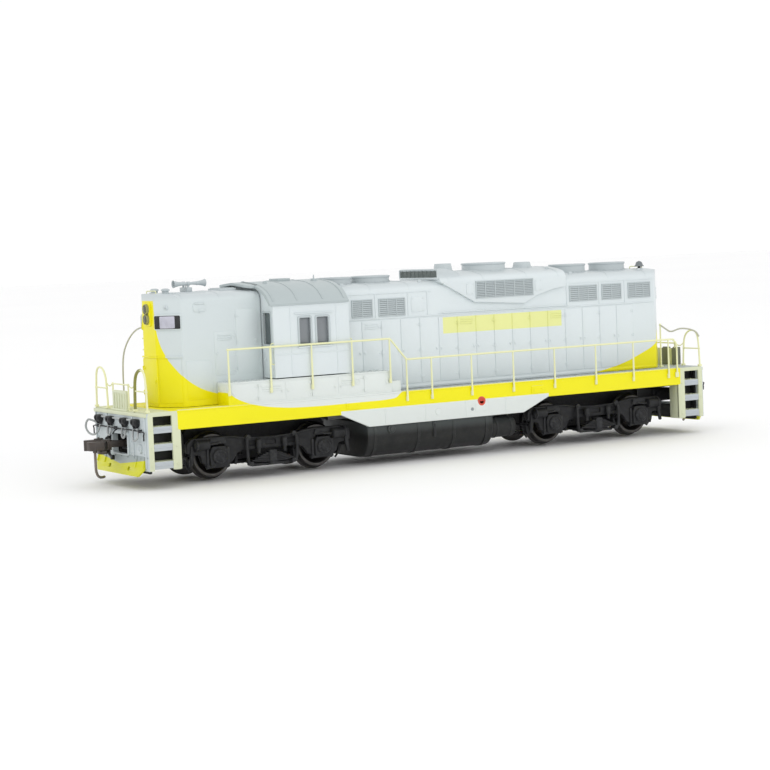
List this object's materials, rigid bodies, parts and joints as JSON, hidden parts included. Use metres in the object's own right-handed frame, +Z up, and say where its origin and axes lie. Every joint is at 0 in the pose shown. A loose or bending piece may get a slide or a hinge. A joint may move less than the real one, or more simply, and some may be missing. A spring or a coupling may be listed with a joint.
{
  "type": "model diesel locomotive",
  "caption": "H0-scale model of a four-axle road-switcher diesel locomotive with a high short hood, cab, railings, swivelling geared trucks and swinging knuckle couplers.",
  "frame": {"origin": "under the middle of the locomotive, at the bottom of the wheel flanges", "axes": "+X towards the short-hood end, +Y towards the locomotive's left side, +Z up"},
  "size_m": [0.2036, 0.0364, 0.0544],
  "materials": {
    "body_paint": "light silver grey, satin",
    "walkway_paint": "lemon yellow with a grey deck and pale skirt, satin",
    "railing_yellow": "pale yellow engineering plastic",
    "roof_grey": "grey",
    "underframe_black": "black, slightly glossy mouldings",
    "window_clear": "clear",
    "frame_metal": "die-cast, dark",
    "wheel_metal": "nickel-plated, blackened face",
    "brass": "turned",
    "copper": "wound armature and steel shaft",
    "gear_plastic": "natural acetal",
    "board_green": "circuit board",
    "coupler_metal": "blackened metal"
  },
  "bodies": {
    "root": {"chassis_weight": "frame_metal", "walkway_frame": "walkway_paint", "fuel_tank": "underframe_black", "long_hood_shell": "body_paint", "short_hood_shell": "body_paint", "cab_shell": "body_paint", "cab_glazing": "window_clear", "dynamic_brake_hatch": "body_paint", "roof_fan_1": "roof_grey", "roof_fan_2": "roof_grey", "roof_fan_3": "roof_grey", "roof_fan_4": "roof_grey", "horn": "roof_grey", "bell": "roof_grey", "headlight_front": "window_clear", "headlight_rear": "window_clear", "handrail_left": "railing_yellow", "handrail_right": "railing_yellow", "end_railing_front": "railing_yellow", "end_railing_rear": "railing_yellow", "mu_hoses_front": "underframe_black", "mu_hoses_rear": "underframe_black", "circuit_board": "board_green", "motor_housing": "frame_metal", "coupler_box_front": "underframe_black", "coupler_box_rear": "underframe_black"},
    "armature": {"armature_shaft": "copper", "flywheel_front": "brass", "flywheel_rear": "brass"},
    "drive_shaft_front": {"drive_shaft_front": "underframe_black"},
    "truck_front": {"gearbox_front": "underframe_black", "truck_frame_front": "underframe_black"},
    "worm_front": {"worm_front": "brass"},
    "centre_gear_front": {"centre_gear_front": "gear_plastic"},
    "idler_front_outer": {"idler_gear_front_outer": "gear_plastic"},
    "wheelset_front_outer": {"axle_front_outer": "gear_plastic", "wheel_front_outer_left": "wheel_metal", "wheel_front_outer_right": "wheel_metal"},
    "idler_front_inner": {"idler_gear_front_inner": "gear_plastic"},
    "wheelset_front_inner": {"axle_front_inner": "gear_plastic", "wheel_front_inner_left": "wheel_metal", "wheel_front_inner_right": "wheel_metal"},
    "coupler_front": {"coupler_shank_front": "coupler_metal"},
    "knuckle_front": {"coupler_knuckle_front": "coupler_metal"},
    "drive_shaft_rear": {"drive_shaft_rear": "underframe_black"},
    "truck_rear": {"gearbox_rear": "underframe_black", "truck_frame_rear": "underframe_black"},
    "worm_rear": {"worm_rear": "brass"},
    "centre_gear_rear": {"centre_gear_rear": "gear_plastic"},
    "idler_rear_outer": {"idler_gear_rear_outer": "gear_plastic"},
    "wheelset_rear_outer": {"axle_rear_outer": "gear_plastic", "wheel_rear_outer_left": "wheel_metal", "wheel_rear_outer_right": "wheel_metal"},
    "idler_rear_inner": {"idler_gear_rear_inner": "gear_plastic"},
    "wheelset_rear_inner": {"axle_rear_inner": "gear_plastic", "wheel_rear_inner_left": "wheel_metal", "wheel_rear_inner_right": "wheel_metal"},
    "coupler_rear": {"coupler_shank_rear": "coupler_metal"},
    "knuckle_rear": {"coupler_knuckle_rear": "coupler_metal"}
  },
  "joints": [
    {"name": "motor_spin", "type": "hinge", "parent": "root", "child": "armature", "pos_m": [0, 0, 0.01835], "axis": [1, 0, 0], "continuous": true},
    {"name": "drive_shaft_front_spin", "type": "hinge", "parent": "root", "child": "drive_shaft_front", "pos_m": [0, 0, 0.01835], "axis": [1, 0, 0], "continuous": true},
    {"name": "truck_front_swivel", "type": "hinge", "parent": "root", "child": "truck_front", "pos_m": [0.05425, 0, 0.01835], "axis": [0, 0, 1], "range_deg": [-9, 9]},
    {"name": "worm_front_spin", "type": "hinge", "parent": "truck_front", "child": "worm_front", "pos_m": [0.05425, 0, 0.01835], "axis": [1, 0, 0], "continuous": true},
    {"name": "centre_gear_front_spin", "type": "hinge", "parent": "truck_front", "child": "centre_gear_front", "pos_m": [0.05425, 0, 0.0118], "axis": [0, 1, 0], "continuous": true},
    {"name": "idler_front_outer_spin", "type": "hinge", "parent": "truck_front", "child": "idler_front_outer", "pos_m": [0.06212, 0, 0.00916], "axis": [0, 1, 0], "continuous": true},
    {"name": "wheelset_front_outer_spin", "type": "hinge", "parent": "truck_front", "child": "wheelset_front_outer", "pos_m": [0.07, 0, 0.00653], "axis": [0, 1, 0], "continuous": true},
    {"name": "idler_front_inner_spin", "type": "hinge", "parent": "truck_front", "child": "idler_front_inner", "pos_m": [0.04637, 0, 0.00916], "axis": [0, 1, 0], "continuous": true},
    {"name": "wheelset_front_inner_spin", "type": "hinge", "parent": "truck_front", "child": "wheelset_front_inner", "pos_m": [0.0385, 0, 0.00653], "axis": [0, 1, 0], "continuous": true},
    {"name": "coupler_front_swing", "type": "hinge", "parent": "root", "child": "coupler_front", "pos_m": [0.0862, 0, 0.011], "axis": [0, 0, 1], "range_deg": [-12, 12], "stiffness_Nm_per_rad": 0.00002},
    {"name": "knuckle_front_open", "type": "hinge", "parent": "coupler_front", "child": "knuckle_front", "pos_m": [0.0979, 0.0022, 0.011], "axis": [0, 0, 1], "range_deg": [0, 22], "stiffness_Nm_per_rad": 0.00001},
    {"name": "drive_shaft_rear_spin", "type": "hinge", "parent": "root", "child": "drive_shaft_rear", "pos_m": [0, 0, 0.01835], "axis": [1, 0, 0], "continuous": true},
    {"name": "truck_rear_swivel", "type": "hinge", "parent": "root", "child": "truck_rear", "pos_m": [-0.05425, 0, 0.01835], "axis": [0, 0, 1], "range_deg": [-9, 9]},
    {"name": "worm_rear_spin", "type": "hinge", "parent": "truck_rear", "child": "worm_rear", "pos_m": [-0.05425, 0, 0.01835], "axis": [1, 0, 0], "continuous": true},
    {"name": "centre_gear_rear_spin", "type": "hinge", "parent": "truck_rear", "child": "centre_gear_rear", "pos_m": [-0.05425, 0, 0.0118], "axis": [0, 1, 0], "continuous": true},
    {"name": "idler_rear_outer_spin", "type": "hinge", "parent": "truck_rear", "child": "idler_rear_outer", "pos_m": [-0.06212, 0, 0.00916], "axis": [0, 1, 0], "continuous": true},
    {"name": "wheelset_rear_outer_spin", "type": "hinge", "parent": "truck_rear", "child": "wheelset_rear_outer", "pos_m": [-0.07, 0, 0.00653], "axis": [0, 1, 0], "continuous": true},
    {"name": "idler_rear_inner_spin", "type": "hinge", "parent": "truck_rear", "child": "idler_rear_inner", "pos_m": [-0.04637, 0, 0.00916], "axis": [0, 1, 0], "continuous": true},
    {"name": "wheelset_rear_inner_spin", "type": "hinge", "parent": "truck_rear", "child": "wheelset_rear_inner", "pos_m": [-0.0385, 0, 0.00653], "axis": [0, 1, 0], "continuous": true},
    {"name": "coupler_rear_swing", "type": "hinge", "parent": "root", "child": "coupler_rear", "pos_m": [-0.0862, 0, 0.011], "axis": [0, 0, 1], "range_deg": [-12, 12], "stiffness_Nm_per_rad": 0.00002},
    {"name": "knuckle_rear_open", "type": "hinge", "parent": "coupler_rear", "child": "knuckle_rear", "pos_m": [-0.0979, -0.0022, 0.011], "axis": [0, 0, 1], "range_deg": [0, 22], "stiffness_Nm_per_rad": 0.00001}
  ],
  "couplings": [
    {"joint": "drive_shaft_front_spin", "follows": "motor_spin", "ratio": 1},
    {"joint": "worm_front_spin", "follows": "motor_spin", "ratio": 1},
    {"joint": "centre_gear_front_spin", "follows": "motor_spin", "ratio": -0.071429},
    {"joint": "idler_front_outer_spin", "follows": "motor_spin", "ratio": 0.071429},
    {"joint": "wheelset_front_outer_spin", "follows": "motor_spin", "ratio": -0.071429},
    {"joint": "idler_front_inner_spin", "follows": "motor_spin", "ratio": 0.071429},
    {"joint": "wheelset_front_inner_spin", "follows": "motor_spin", "ratio": -0.071429},
    {"joint": "drive_shaft_rear_spin", "follows": "motor_spin", "ratio": 1},
    {"joint": "worm_rear_spin", "follows": "motor_spin", "ratio": 1},
    {"joint": "centre_gear_rear_spin", "follows": "motor_spin", "ratio": -0.071429},
    {"joint": "idler_rear_outer_spin", "follows": "motor_spin", "ratio": 0.071429},
    {"joint": "wheelset_rear_outer_spin", "follows": "motor_spin", "ratio": -0.071429},
    {"joint": "idler_rear_inner_spin", "follows": "motor_spin", "ratio": 0.071429},
    {"joint": "wheelset_rear_inner_spin", "follows": "motor_spin", "ratio": -0.071429}
  ]
}
